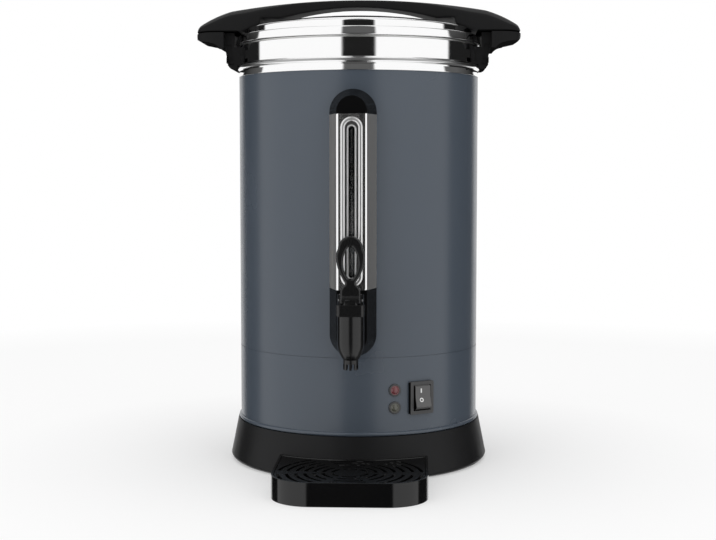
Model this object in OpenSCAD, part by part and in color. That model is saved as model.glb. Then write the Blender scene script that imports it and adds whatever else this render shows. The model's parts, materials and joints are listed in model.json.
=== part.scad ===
// Double-walled percolating coffee urn. Origin: centre of the face it stands on.
// +Z is up and the tap faces -Y.

/* [Shells] */
// Outside diameter of the painted shells
shell_d = 240; // [232:1:250]
// Wall of the painted shells and the collar
shell_wall = 1.2; // [0.8:0.1:1.6]
// Height of the painted lower shell, up to the seam
lower_shell_h = 74.5; // [72:0.5:80]
// Height of the painted upper shell
upper_shell_h = 267.5; // [262:0.5:290]
// Height of the bright collar above the upper shell
collar_h = 30.5; // [28:0.5:34]
// Radius of the rolled bead low on the collar
bead_r = 2.6; // [2:0.1:3]

/* [Base] */
// Height of the flared base
base_h = 41.5; // [38:0.5:46]
// How far the base stands out past the shells at its widest
base_flare = 10; // [8:0.5:14]
// Rounding under the widest line of the base
base_round = 5; // [3:0.5:6]
// Wall of the moulded base
base_wall = 3; // [2:0.25:4]
// Height of the bottom cover above the table
cover_lift = 5; // [4:0.5:6]
// Thickness of the bottom cover
cover_t = 2.5; // [2:0.25:3]
// Number of rubber feet
foot_n = 4; // [3:1:6]

/* [Tank] */
// Inside diameter of the water tank
tank_d = 208; // [200:1:212]
// Wall of the tank
tank_wall = 1.2; // [0.8:0.1:1.5]
// Height of the tank floor above the seam
floor_lift = 10; // [9:0.5:14]
// Depth of the heater well
well_depth = 8; // [6:0.5:9]
// Inside radius of the heater well
well_r = 25; // [22:0.5:28]
// Depth of the seat that holds the lid seal
seat_depth = 5; // [4.5:0.1:6]

/* [Lid] */
// Outside diameter of the rolled brim of the lid
brim_d = 246; // [244:0.5:250]
// Height of the rolled brim
brim_h = 8.2; // [7:0.2:9]
// Height of the upright side above the brim
lid_side_h = 7.5; // [6:0.5:10]
// Crown of the lid above its side
crown_h = 12; // [9:0.5:14]
// Sheet of the lid
lid_wall = 1.2; // [0.8:0.1:1.5]

/* [Lid bar and handles] */
// Reach of the wings and handles from the centre
wing_reach = 162.7; // [160:0.1:168]
// Width of the wings and of the handle grips
wing_w = 70; // [68:1:80]
// Width of the arch at its middle
arch_w = 34; // [28:1:40]
// Thickness of the arch at its middle
arch_t = 8.5; // [7:0.5:10]
// Width of the handle legs on the collar
leg_w = 50; // [44:1:56]
// Height of the handle legs
leg_h = 36; // [34:0.5:38]
// Turn of the lid from free to locked, in degrees
lock_turn = 10; // [8:0.5:10]
// Diameter of the head of the locking lug
lug_head_d = 12; // [10:0.5:12]
// Diameter of the stem of the locking lug
lug_stem_d = 7; // [6:0.5:8]

/* [Gauge column] */
// Width of the column where it meets the shell
column_w = 43.5; // [40:0.5:48]
// Width of the flat front of the column
front_w = 27.2; // [26:0.2:30]
// How far the column stands out from the shell
column_out = 26; // [24:0.5:30]
// Distance from the top edge of the upper shell down to the top of the column
column_drop = 17.5; // [14:0.5:24]
// Height of the black lower housing
housing_h = 65.5; // [62:0.5:70]
// Height of the black cap
cap_h = 23.7; // [23:0.1:28]
// Outside width of the bright bezel
bezel_w = 20.9; // [19:0.1:22]
// Width of the rim of the bezel
bezel_rim = 3.8; // [3:0.1:4.5]
// Outside diameter of the sight tube
tube_d = 9.5; // [8:0.1:10]
// Wall of the sight tube
tube_wall = 1.2; // [1:0.1:1.5]

/* [Tap] */
// Diameter of the tap body
tap_d = 24.5; // [23:0.1:26]
// Height of the outlet above the table
outlet_z = 111.5; // [109:0.5:114]
// Distance from the front of the column to the centre of the tap
tap_out = 16; // [15:0.25:18]
// Diameter of the nozzle
nozzle_d = 13.6; // [12.6:0.1:14]
// Bore of the outlet
outlet_bore = 8; // [7:0.1:8.5]
// Diameter of the valve chamber
chamber_d = 17; // [16:0.1:18]
// Diameter of the threaded tail
tail_d = 14; // [13:0.1:15]
// Bore of the tail
tail_bore = 8.5; // [8:0.1:9]
// Diameter of the valve stem
stem_d = 4; // [3.5:0.1:4.5]
// Width of the loop of the lever
lever_w = 24.8; // [23:0.1:26]
// Thickness of the loop of the lever
lever_t = 7; // [6:0.5:8]
// Diameter of the pin of the lever
pin_d = 2.4; // [2:0.1:2.6]
// Pull of the lever, in degrees
lever_pull = 40; // [30:1:42]

/* [Controls] */
// Direction of the switch, in degrees from the front
switch_angle = 31.7; // [29:0.1:34]
// Width of the switch frame
switch_w = 25.4; // [24:0.1:27]
// Height of the switch frame
switch_h = 31; // [29:0.1:32]
// Height of the middle of the switch
switch_z = 76.6; // [72:0.1:80]
// Tilt between the two rests of the rocker, in degrees
rocker_swing = 16; // [12:1:18]
// Direction of the lamps, in degrees from the front
lamp_angle = 18.9; // [16:0.1:19]
// Diameter of the lamp lenses
lamp_d = 10.4; // [9:0.1:11]
// Distance between the two lamps
lamp_pitch = 16.6; // [15.5:0.1:18]
// Width of the appliance inlet flange
inlet_w = 50; // [48:0.5:52]
// Height of the appliance inlet flange
inlet_h = 28; // [26:0.5:30]

/* [Drip tray] */
// Width of the tray
tray_w = 138; // [120:1:150]
// Distance from the middle of the urn to the front of the tray
tray_reach = 221.5; // [205:0.5:230]
// Height of the tray at its front
tray_h = 21.5; // [19:0.5:24]
// Radius of the front corners of the tray
tray_corner = 36.5; // [20:0.5:40]
// Wall of the tray
tray_wall = 2.5; // [2:0.1:3]
// Width of the tongue that docks under the base
tongue_w = 80; // [60:1:90]

/* [Percolator] */
// Outside diameter of the riser tube
riser_d = 9.5; // [8:0.1:11]
// Height of the riser tube
riser_h = 258; // [240:1:262]
// Outside diameter of the coffee basket
basket_d = 124; // [110:1:140]
// Height of the coffee basket
basket_h = 70; // [55:1:72]
// Rings of holes in the floor of the basket
basket_rings = 4; // [2:1:5]

/* [Fits] */
// Gap between pieces that only stand next to each other
gap = 0.3; // [0.2:0.05:0.4]
// Radial running clearance of a pin or stem in its bore
run_fit = 0.05; // [0.03:0.01:0.08]
// Gap between the wings of the lid bar and the handles
wing_gap = 0.7; // [0.6:0.1:1]

/* [Hidden] */
$fn = 96;

shell_r = shell_d / 2;
shell_in = shell_r - shell_wall;
seam_z = base_h + lower_shell_h;
seam_ring_in = shell_in - 1.3;
shell_top = seam_z + upper_shell_h;
rim_z = shell_top + collar_h;
collar_r = shell_in + shell_wall / 2;
bead_mid_r = shell_in + 0.4;
bead_z = shell_top + 9;

// base
flare_r = shell_r + base_flare;
skirt_top_r = shell_r + 2.6;
ledge_r = shell_r - 8;
screw_ring_r = ledge_r + 3;
feet_ring_r = shell_r - 26;
foot_r = 9;
boss_r = 5;
boss_z = cover_lift + cover_t;
base_screw_r = 2;
base_screw_run = 14;
notch_w = 3;
notch_angles = [63, 117, -63, -117];
hem_r = 2;

// tank and lid seat
tank_r = tank_d / 2;
tank_floor = seam_z + floor_lift;
lip_t = 1.2;
seat_r = shell_r - 5.5;
seat_z = rim_z - seat_depth;
tank_top = rim_z + lip_t;
tie_r = 4;
shield_z = seam_z - 16;
shield_t = 0.8;
can_r = 8;
can_h = 11;
can_ear = 12;
can_ear_t = 1;
heater_h = 9;

// lid
brim_r = brim_d / 2;
brim_z = tank_top + gap;
roll_r = brim_h / 2;
side_r = shell_r - 7;
side_z = brim_z + brim_h;
lid_edge_z = side_z + lid_side_h;
edge_round = 2.5;
crown_r = side_r - edge_round;
crown_ball = (crown_r * crown_r + crown_h * crown_h) / (2 * crown_h);
liner_z = seat_z + seat_depth - 1;
plug_r = tank_r - 2;
plug_depth = 9;

// lid bar and handles
wing_z = side_z + 4;
wing_run = 35.7;
wing_start = shell_r + 12;
grip_top = wing_z - wing_gap;
arch_top = lid_edge_z + crown_h + 18;
shoulder_x = wing_reach - wing_run;
arch_rise = 10.6;
arch_ball = (shoulder_x * shoulder_x + arch_rise * arch_rise) / (2 * arch_rise);
under_x = shoulder_x - 49;
under_rise = 11.5;
under_z = arch_top - arch_t - under_rise;
under_ball = (under_x * under_x + under_rise * under_rise) / (2 * under_rise);
tip_r = 14;
tip_mid = [wing_reach - tip_r, wing_z - 1.2];
tip_from = wing_reach - 8.2;
tip_corner = 24;
bar_crown = 80;
blend_r = 120;
blend_from = shoulder_x - 9;
blend_start = [shoulder_x, arch_top - arch_rise];
blend_stop = [wing_reach - 9.7, wing_z + 11.9];
blend_way = (blend_stop - blend_start) / norm(blend_stop - blend_start);
blend_off = sqrt(blend_r * blend_r - pow(norm(blend_stop - blend_start) / 2, 2));
blend_mid = (blend_start + blend_stop) / 2 + blend_off * [blend_way[1], -blend_way[0]];
brim_play = 1.8;
lug_r = brim_r + brim_play + 0.454 * (wing_reach - brim_r - brim_play);
lug_head_t = 3;
grip_plate = 3.7;
leg_bottom = grip_top - leg_h;
handle_screw_z = leg_bottom + 10;
handle_screw_r = 2.1;
lug_z = grip_top - grip_plate - gap * 1.5;
bar_screw_x = side_r - 8;

// gauge column
column_z = seam_z + 0.5;
column_top = shell_top - column_drop;
back_y = -(shell_r - 3);
front_y = -(shell_r + column_out);
housing_top = column_z + housing_h;
cap_z = column_top - cap_h;
column_skin = 2;
bezel_h = cap_z - housing_top - 5;
bezel_mid = (cap_z + housing_top) / 2;
bezel_t = 2.4;
window_w = 9.4;
window_h = bezel_h - 14;
block_w = 18;
block_deep = 14;
seal_h = 3;
tube_y = front_y + 10;
tube_high = cap_z + 6;

// tap
tap_y = front_y - tap_out;
prong_h = 5.5;
cone_z = outlet_z + 9;
nose_top = outlet_z + 24.5;
nose_step = (tap_d - nozzle_d) / 2;
nose_ball = (nose_step * nose_step + pow(nose_top - cone_z, 2)) / (2 * nose_step);
bonnet_z = outlet_z + 49;
bonnet_h = 10.5;
tail_z = outlet_z + 34.5;
tube_low = tail_z + tail_d / 2 + 2;
block_top = tube_low + 8;
block_z = tail_z - 10;
seat_hole_z = outlet_z + 19.5;
tail_end = -(tank_r - 9);
hub_r = 5.5;
pivot_back = 5;
pivot_y = tap_y - pivot_back;
pivot_z = bonnet_z + 14;
hub_w = 17.2;
hub_slot = hub_w + 0.8;
head_slot = 4;
lever_neck = 8.8;
block_h = 9.5;
loop_top = 6.8;
loop_leaf = 56;
hole_w = 14.5;
hole_leaf = 34;
loop_mid = pivot_z + 40.1;
hole_mid = loop_mid - 6.1;
cup_z = seat_hole_z + gap;
cup_h = 7;

// controls
switch_face = shell_r + 3.4;
rocker_w = 17.6;
rocker_h = 23.4;
rocker_axle = shell_r - 3;
axle_r = 1.2;
lamp_face = shell_r + 1.6;
lamp_z = [switch_z + lamp_pitch / 2, switch_z - lamp_pitch / 2];
inlet_z = switch_z;
inlet_face = shell_r + 4;
socket_deep = 18;

// drip tray
tray_side = tray_w / 2;
tongue_run = 40;
tongue_z = 1;
tongue_t = 3;
grate_t = 2.6;
grate_drop = 0.6;
grate_z = tray_h - grate_drop - grate_t;

// percolator
riser_r = riser_d / 2;
riser_z = tank_floor - well_depth + gap;
riser_foot_r = well_r - 3;
basket_r = basket_d / 2;
basket_z = riser_z + riser_h - basket_h - 24;
basket_wall = 1;

// ---------- shared shapes ----------

// Ring of rectangular section
module ring(inner, outer, low, high) {
  rotate_extrude() translate([inner, low]) square([outer - inner, high - low]);
}

// Puts children at an angle from the front, standing off the middle along -Y
module facing(angle, distance, height) {
  rotate([0, 0, angle]) translate([0, -distance, height]) children();
}

// Plate with square corners, its outer face towards -Y at the origin
module face_plate(w, h, t) {
  translate([-w / 2, 0, -h / 2]) cube([w, t, h]);
}

// Plate with rounded corners, its outer face towards -Y at the origin
module round_plate(w, h, t, r) {
  translate([0, t, 0]) rotate([90, 0, 0]) linear_extrude(t) rounded(w, h, r);
}

// Rounded rectangle
module rounded(w, h, r) {
  square([w - 2 * r, h], center = true);
  square([w, h - 2 * r], center = true);
  for (x = [-1, 1], y = [-1, 1]) translate([x * (w / 2 - r), y * (h / 2 - r)]) circle(r);
}

// Upright slot outline with half-round ends
module slot(w, h) {
  square([w, h - w], center = true);
  for (s = [-1, 1]) translate([0, s * (h - w) / 2]) circle(d = w);
}

// Rod along X
module rod_x(r, length) {
  rotate([0, 90, 0]) cylinder(r = r, h = length, center = true);
}

// Rod from the front (low y) to the back (high y)
module rod_y(r, from, to, height) {
  translate([0, to, height]) rotate([90, 0, 0]) cylinder(r = r, h = to - from);
}

// ---------- base ----------

module skirt_profile() {
  difference() {
    union() {
      translate([flare_r - base_round, base_round]) circle(base_round);
      polygon([[flare_r - base_round - base_wall, 0], [flare_r - base_round, 0], [flare_r, base_round],
               [skirt_top_r, base_h], [ledge_r, base_h], [ledge_r, base_h - base_wall]]);
    }
    polygon([[ledge_r - 1, -1], [flare_r - base_round - base_wall, -1], [flare_r - base_wall - 1, base_round],
             [skirt_top_r - base_wall, base_h - base_wall], [ledge_r - 1, base_h - base_wall]]);
  }
}

module base_skirt() {
  color([0.07, 0.07, 0.075]) difference() {
    union() {
      rotate_extrude($fn = 180) skirt_profile();
      for (i = [0 : foot_n - 1]) rotate([0, 0, 45 + i * 360 / foot_n])
        translate([screw_ring_r, 0, boss_z]) cylinder(r = boss_r, h = base_h - base_wall / 2 - boss_z);
    }
    for (i = [0 : foot_n - 1]) rotate([0, 0, 45 + i * 360 / foot_n]) translate([screw_ring_r, 0, 0])
      cylinder(r = base_screw_r, h = cover_lift + cover_t + base_screw_run);
    for (a = notch_angles) rotate([0, 0, a])
      translate([-notch_w / 2, -flare_r - 1, -1]) cube([notch_w, 1 + base_round + base_wall / 2, 1 + notch_w * 0.6]);
    translate([-tongue_w / 2 - 1, -flare_r - 1, -1]) cube([tongue_w + 2, 20, 2 + tongue_z + tongue_t + 4]);
  }
}

module base_cover() {
  color([0.09, 0.09, 0.095]) difference() {
    translate([0, 0, cover_lift]) cylinder(r = flare_r - base_wall - 3, h = cover_t);
    for (i = [0 : foot_n - 1]) rotate([0, 0, 45 + i * 360 / foot_n]) {
      translate([screw_ring_r, 0, 0]) cylinder(r = base_screw_r + 0.3, h = 20);
      translate([feet_ring_r, 0, 0]) cylinder(r = 2.5, h = 20);
    }
    cylinder(r = tie_r + 0.4, h = 20);
    for (ring_r = [30, 45, 60], a = [0 : 15 : 345]) rotate([0, 0, a]) translate([ring_r, 0, 0])
      cylinder(r = 2, h = 20, $fn = 24);
  }
}

module base_screws() {
  color("silver") for (i = [0 : foot_n - 1]) rotate([0, 0, 45 + i * 360 / foot_n]) translate([screw_ring_r, 0, 0]) {
    translate([0, 0, cover_lift]) cylinder(r = base_screw_r - run_fit, h = base_screw_run);
    translate([0, 0, cover_lift - 2]) cylinder(r = 3.6, h = 2);
  }
}

module rubber_feet() {
  color([0.05, 0.05, 0.05]) for (i = [0 : foot_n - 1]) rotate([0, 0, 45 + i * 360 / foot_n])
    translate([feet_ring_r, 0, 0]) {
      cylinder(r1 = foot_r - 1, r2 = foot_r, h = cover_lift);
      cylinder(r = 2.4, h = cover_lift + cover_t);
      translate([0, 0, cover_lift + cover_t]) cylinder(r = 4, h = 1.5);
    }
}

// ---------- shells ----------

module lower_shell() {
  color([0.30, 0.33, 0.38]) difference() {
    rotate_extrude($fn = 180) {
      translate([shell_in, base_h]) square([shell_wall, lower_shell_h - gap]);
      difference() {
        translate([shell_r, base_h + hem_r]) circle(hem_r);
        translate([shell_in - hem_r, base_h]) square([hem_r, 2 * hem_r]);
      }
    }
    facing(switch_angle, shell_r + 1, switch_z) face_plate(switch_w - 3, switch_h - 3, 12);
    for (z = lamp_z) facing(lamp_angle, 0, z) rod_y(lamp_d / 2 - 0.7, -shell_r - 5, -shell_r + 12, 0);
    facing(180, shell_r + 1, inlet_z) face_plate(inlet_w - 18, inlet_h - 4, 12);
  }
}

module seam_ring() {
  color([0.2, 0.2, 0.2]) ring(seam_ring_in, shell_in - run_fit, seam_z - 9, seam_z + 9);
}

module upper_shell() {
  color([0.30, 0.33, 0.38]) difference() {
    ring(shell_in, shell_r, seam_z + gap, shell_top, $fn = 180);
    rod_y(tail_d / 2 + 1, -shell_r - 5, -shell_r + 5, tail_z);
  }
}

module collar() {
  color("silver") difference() {
    rotate_extrude($fn = 180) {
      translate([shell_in - shell_wall / 2, shell_top]) square([shell_wall, collar_h]);
      translate([shell_in - shell_wall / 2, shell_top]) square([shell_wall + 1.6, 5]);
      difference() {
        translate([bead_mid_r, bead_z]) circle(bead_r);
        translate([shell_in - bead_r - 1, shell_top]) square([bead_r + 1 - shell_wall / 2, 2 * bead_r + 12]);
      }
    }
    for (s = [-1, 1], y = [-1, 1]) translate([s * shell_r, y * leg_w / 4, handle_screw_z])
      rod_x(handle_screw_r + 0.2, 20);
  }
}

// ---------- tank and heating ----------

module tank() {
  color([0.72, 0.73, 0.74]) difference() {
    rotate_extrude($fn = 180) {
      translate([tank_r, tank_floor]) square([tank_wall, seat_z - tank_floor - tank_wall]);
      translate([tank_r, seat_z - tank_wall]) square([seat_r + tank_wall - tank_r, tank_wall]);
      translate([seat_r, seat_z - tank_wall]) square([tank_wall, tank_top - seat_z + tank_wall]);
      translate([seat_r, rim_z]) square([shell_r - 0.4 - seat_r, lip_t]);
      translate([well_r, tank_floor - tank_wall]) square([tank_r + tank_wall - well_r, tank_wall]);
      translate([well_r, tank_floor - well_depth]) square([tank_wall, well_depth]);
      translate([0, tank_floor - well_depth - tank_wall]) square([well_r + tank_wall, tank_wall]);
    }
    rod_y(tail_d / 2 + 0.5, -tank_r - 5, -tank_r + 8, tail_z);
  }
}

module pump_heater() {
  color([0.5, 0.48, 0.45]) difference() {
    translate([0, 0, tank_floor - well_depth - tank_wall - heater_h]) cylinder(r = well_r - 2, h = heater_h);
    translate([0, 0, tank_floor - well_depth - tank_wall - heater_h - 1]) cylinder(r = tie_r + 1, h = heater_h + 2);
  }
}

module warming_ring() {
  color([0.5, 0.48, 0.45]) rotate_extrude() translate([tank_r * 0.62, tank_floor - tank_wall - 4]) circle(3.9);
}

// Disc control with two mounting ears, pressed to the underside of the tank
module can(x) {
  translate([x, 0, tank_floor - tank_wall - can_h]) {
    cylinder(r = can_r, h = can_h);
    translate([-can_ear, -can_r / 2, can_h - can_ear_t]) cube([2 * can_ear, can_r, can_ear_t]);
  }
}

module thermostat() {
  color([0.85, 0.8, 0.7]) can(42);
}

module thermal_cutout() {
  color([0.9, 0.9, 0.88]) can(-42);
}

module heat_shield() {
  color([0.7, 0.7, 0.7]) difference() {
    union() {
      translate([0, 0, shield_z]) cylinder(r = seam_ring_in - run_fit, h = shield_t);
      ring(seam_ring_in - run_fit - shield_t, seam_ring_in - run_fit, shield_z, shield_z + 13);
    }
    translate([0, 0, shield_z - 1]) cylinder(r = tie_r + 1, h = 12);
  }
}

module tie_rod() {
  rod_z = cover_lift - 3;
  color("silver") translate([0, 0, rod_z]) cylinder(r = tie_r, h = tank_floor - well_depth - tank_wall - rod_z);
}

module tie_nut() {
  color("silver") difference() {
    translate([0, 0, cover_lift - 2.6]) cylinder(r = 8, h = 2.6, $fn = 6);
    cylinder(r = tie_r + run_fit, h = 20);
  }
}

// ---------- gauge column ----------

// Tapered column with half-round ends, cut square between two heights
module column_form(low, high) {
  end_z = [column_z + column_w / 2, column_top - column_w / 2];
  intersection() {
    union() {
      translate([0, 0, end_z[0]]) linear_extrude(end_z[1] - end_z[0])
        polygon([[-column_w / 2, back_y], [-front_w / 2, front_y], [front_w / 2, front_y], [column_w / 2, back_y]]);
      for (z = end_z) translate([0, back_y, z]) rotate([90, 0, 0])
        cylinder(d1 = column_w, d2 = front_w, h = back_y - front_y);
    }
    translate([-column_w, front_y - 1, low]) cube([2 * column_w, shell_r + column_out, high - low]);
  }
}

module shell_bore(extra = gap) {
  translate([0, 0, seam_z - 5]) cylinder(r = shell_r + extra, h = upper_shell_h, $fn = 180);
}

module gauge_cap() {
  color([0.06, 0.06, 0.065]) difference() {
    column_form(cap_z, column_top);
    shell_bore();
    translate([0, tube_y, cap_z - 1]) cylinder(r = tube_d / 2 + run_fit * 2, h = tube_high - cap_z + 1);
  }
}

module gauge_cover() {
  color([0.65, 0.66, 0.67]) difference() {
    column_form(housing_top, cap_z);
    shell_bore();
    translate([0, 0, housing_top - 1]) linear_extrude(cap_z - housing_top + 2)
      polygon([[-column_w / 2 + column_skin, back_y + 1], [-front_w / 2 + column_skin, front_y + column_skin],
               [front_w / 2 - column_skin, front_y + column_skin], [column_w / 2 - column_skin, back_y + 1]]);
    translate([0, front_y + 5, bezel_mid]) rotate([90, 0, 0]) linear_extrude(10)
      slot(bezel_w - 2 * bezel_rim, bezel_h - 2 * bezel_rim);
  }
}

module gauge_bezel() {
  color("silver") translate([0, front_y, bezel_mid]) rotate([90, 0, 0]) linear_extrude(bezel_t) difference() {
    slot(bezel_w, bezel_h);
    slot(bezel_w - 2 * bezel_rim, bezel_h - 2 * bezel_rim);
  }
}

module gauge_backing() {
  color([0.06, 0.06, 0.065]) translate([0, front_y + column_skin + 1.6, bezel_mid]) rotate([90, 0, 0])
    linear_extrude(1.6) difference() {
      square([front_w - 2 * column_skin - 1, bezel_h + 3], center = true);
      slot(window_w - 2, window_h - 2);
    }
}

module gauge_window() {
  color([0.8, 0.85, 0.88, 0.5]) translate([0, front_y + column_skin, bezel_mid]) rotate([90, 0, 0]) {
    linear_extrude(2) slot(window_w, window_h);
    linear_extrude(3) difference() {
      slot(window_w, window_h);
      slot(window_w - 2.4, window_h - 2.4);
    }
  }
}

module lower_housing() {
  color([0.06, 0.06, 0.065]) difference() {
    column_form(column_z, housing_top);
    shell_bore();
    rod_y(tail_d / 2 + 0.3, front_y - 1, 0, tail_z);
    translate([-block_w / 2 - gap, tube_y - block_deep / 2 - gap, block_z - gap])
      cube([block_w + 2 * gap, 40, housing_top]);
  }
}

module gauge_block() {
  color([0.8, 0.75, 0.6]) difference() {
    translate([-block_w / 2, tube_y - block_deep / 2, block_z]) cube([block_w, block_deep, block_top - block_z]);
    rod_y(tail_d / 2 + run_fit, tube_y - 9, tube_y + 9, tail_z);
    translate([0, tube_y, tube_low]) cylinder(r = tube_d / 2 + run_fit * 2, h = 20);
    translate([0, tube_y, tail_z]) cylinder(r = tube_d / 2 - tube_wall, h = 30);
  }
}

module sight_tube() {
  color([0.85, 0.9, 0.92, 0.4]) difference() {
    translate([0, tube_y, tube_low]) cylinder(r = tube_d / 2, h = tube_high - tube_low);
    translate([0, tube_y, tube_low - 1]) cylinder(r = tube_d / 2 - tube_wall, h = tube_high - tube_low + 2);
  }
}

module tube_seals() {
  color([0.75, 0.3, 0.2]) for (z = [block_top, cap_z - seal_h]) translate([0, tube_y, z]) difference() {
    cylinder(r = tube_d / 2 + 1.2, h = seal_h);
    translate([0, 0, -1]) cylinder(r = tube_d / 2 + run_fit, h = 5);
  }
}

// ---------- tap ----------

module tap_body() {
  color([0.06, 0.06, 0.065]) difference() {
    union() {
      translate([0, tap_y, nose_top]) cylinder(r = tap_d / 2, h = bonnet_z - nose_top);
      translate([0, tap_y, cone_z]) rotate_extrude() intersection() {
        translate([tap_d / 2 - nose_ball, nose_top - cone_z]) circle(nose_ball, $fn = 180);
        square([tap_d / 2, nose_top - cone_z]);
      }
      translate([0, tap_y, outlet_z]) cylinder(r = nozzle_d / 2, h = cone_z - outlet_z);
      rod_y(tail_d / 2 + 2.5, tap_y, front_y - gap, tail_z);
      rod_y(tail_d / 2, tap_y, tail_end, tail_z);
    }
    translate([0, tap_y, seat_hole_z]) cylinder(r = chamber_d / 2, h = bonnet_z - seat_hole_z + 1);
    translate([0, tap_y, outlet_z - 1]) cylinder(r = outlet_bore / 2, h = seat_hole_z - outlet_z + 2);
    rod_y(tail_bore / 2, tap_y, tail_end + 1, tail_z);
    translate([0, tube_y, tail_z]) cylinder(r = tube_d / 2 - tube_wall, h = tail_d);
    for (a = [22.5 : 45 : 157.5]) translate([0, tap_y, outlet_z - 1]) rotate([0, 0, a])
      translate([-nozzle_d, -1.5, 0]) cube([2 * nozzle_d, 3, prong_h + 1]);
  }
}

// Cap of the tap: a closed ring below, two ears above that carry the lever
module tap_bonnet() {
  bonnet_r = tap_d / 2 - 0.3;
  ear_r = hub_r + 0.5;
  color([0.06, 0.06, 0.065]) difference() {
    union() {
      translate([0, tap_y, bonnet_z]) cylinder(r = bonnet_r, h = bonnet_h - 1);
      translate([0, tap_y, bonnet_z + bonnet_h - 1]) cylinder(r1 = bonnet_r, r2 = bonnet_r - 1, h = 1);
      translate([0, tap_y, bonnet_z - 5]) cylinder(r = chamber_d / 2 - gap, h = 6);
      intersection() {
        translate([0, tap_y, bonnet_z]) cylinder(r = bonnet_r, h = pivot_z + ear_r - bonnet_z);
        union() {
          translate([0, pivot_y, pivot_z]) rod_x(ear_r, tap_d);
          translate([-tap_d / 2, pivot_y - ear_r, bonnet_z]) cube([tap_d, 2 * ear_r, pivot_z - bonnet_z]);
        }
      }
    }
    translate([0, tap_y, bonnet_z - 6]) cylinder(r = stem_d / 2 + run_fit, h = 30);
    translate([0, pivot_y, pivot_z]) rod_x(hub_r + 0.4, hub_slot);
    translate([-hub_slot / 2, pivot_y - hub_r - 0.4, pivot_z]) cube([hub_slot, 20, 20]);
    translate([-hub_slot / 2, pivot_y, pivot_z - hub_r - 0.4]) cube([hub_slot, pivot_back + 3.8, 20]);
    translate([0, pivot_y, pivot_z]) rod_x(pin_d / 2 + 0.01, 40);
  }
}

// Leaf between two arcs, cut round at its ends
module leaf(w, h, end_r) {
  side = (h * h / 4 + w * w / 4) / w;
  intersection() {
    translate([side - w / 2, 0]) circle(side);
    translate([w / 2 - side, 0]) circle(side);
    circle(end_r);
  }
}

// Outline of the lever from its hub up to the top of the loop, height 0 at the pivot
module lever_outline() {
  loop = loop_mid - pivot_z;
  neck = lever_neck / 2;
  translate([0, loop]) circle(d = lever_w);
  translate([0, loop + loop_top]) circle(lever_w * 0.43);
  intersection() {
    translate([0, loop]) leaf(lever_w, loop_leaf, loop_leaf / 2 - 2);
    translate([-lever_w, 0]) square([2 * lever_w, loop]);
  }
  for (s = [-1, 1]) polygon([[0, 0], [s * hub_w / 2, 0], [s * hub_w / 2, block_h], [s * (neck + 3), block_h + 2.5],
                             [s * neck, block_h + 5.2], [s * neck, loop - 20], [0, loop - 20]]);
}

module tap_lever() {
  color([0.05, 0.05, 0.055]) translate([0, pivot_y, pivot_z]) {
    difference() {
      union() {
        translate([0, lever_t / 2, 0]) rotate([90, 0, 0]) linear_extrude(lever_t) lever_outline();
        rod_x(hub_r, hub_w);
      }
      translate([0, 20, hole_mid - pivot_z]) rotate([90, 0, 0]) linear_extrude(40)
        leaf(hole_w, hole_leaf, hole_leaf / 2 - 2);
      rod_x(pin_d / 2 + run_fit, 40);
      translate([-head_slot / 2, -0.5, -hub_r - 1]) cube([head_slot, hub_r + 3, hub_r + 8]);
      rotate([-lever_pull, 0, 0])
        translate([-head_slot / 2, pivot_back - stem_d / 2 - gap, -hub_r - 4]) cube([head_slot, 9, hub_r + 2]);
    }
    translate([0, pivot_back, 0]) rod_x(pin_d / 2, head_slot + 2);
  }
}

module lever_pin() {
  color("silver") translate([0, pivot_y, pivot_z]) rod_x(pin_d / 2, tap_d - 2);
}

module valve_stem() {
  color("silver") {
    translate([0, tap_y, cup_z + 2]) cylinder(r = stem_d / 2, h = pivot_z - 3.5 - cup_z - 2);
    difference() {
      translate([-head_slot / 2 + gap, tap_y - 3.6, pivot_z - 4]) cube([head_slot - 2 * gap, 6, 7]);
      translate([-5, tap_y - 2.6, pivot_z - pin_d / 2 - gap]) cube([10, 4, pin_d + 2 * gap]);
    }
  }
}

module seat_cup() {
  color([0.8, 0.35, 0.25]) difference() {
    translate([0, tap_y, cup_z]) cylinder(r1 = outlet_bore / 2 + 2, r2 = outlet_bore / 2 + 3, h = cup_h);
    translate([0, tap_y, cup_z + 2 - gap / 3]) cylinder(r = stem_d / 2 + run_fit, h = cup_h);
  }
}

// Flat-wire coil round the stem, between the seat cup and the bonnet
module valve_spring() {
  turns = 3;
  low = cup_z + cup_h;
  high = bonnet_z - 5;
  color("silver") translate([0, tap_y, low]) linear_extrude(high - low, twist = -360 * turns, slices = 10 * turns)
    intersection() {
      difference() {
        circle(stem_d / 2 + 3.2, $fn = 18);
        circle(stem_d / 2 + 2, $fn = 18);
      }
      polygon([[0, 0], [6, -8.6], [12, 0], [6, 8.6]]);
    }
}

module tap_washers() {
  color([0.75, 0.3, 0.2]) {
    difference() {
      rod_y(tail_d / 2 + 4, -tank_r - tank_wall - 2.2, -tank_r - tank_wall - 0.2, tail_z);
      rod_y(tail_d / 2 + run_fit, -tank_r - 20, -tank_r + 20, tail_z);
    }
    difference() {
      rod_y(tail_d / 2 + 4, -tank_r + 0.8, -tank_r + 2.6, tail_z);
      rod_y(tail_d / 2 + run_fit, -tank_r - 20, -tank_r + 20, tail_z);
    }
  }
}

module tail_nut() {
  color([0.8, 0.75, 0.6]) difference() {
    translate([0, -tank_r + 8, tail_z]) rotate([90, 0, 0]) cylinder(r = tail_d / 2 + 4.5, h = 5.2, $fn = 6);
    rod_y(tail_d / 2 + run_fit, -tank_r - 20, -tank_r + 20, tail_z);
  }
}

// ---------- controls ----------

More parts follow.
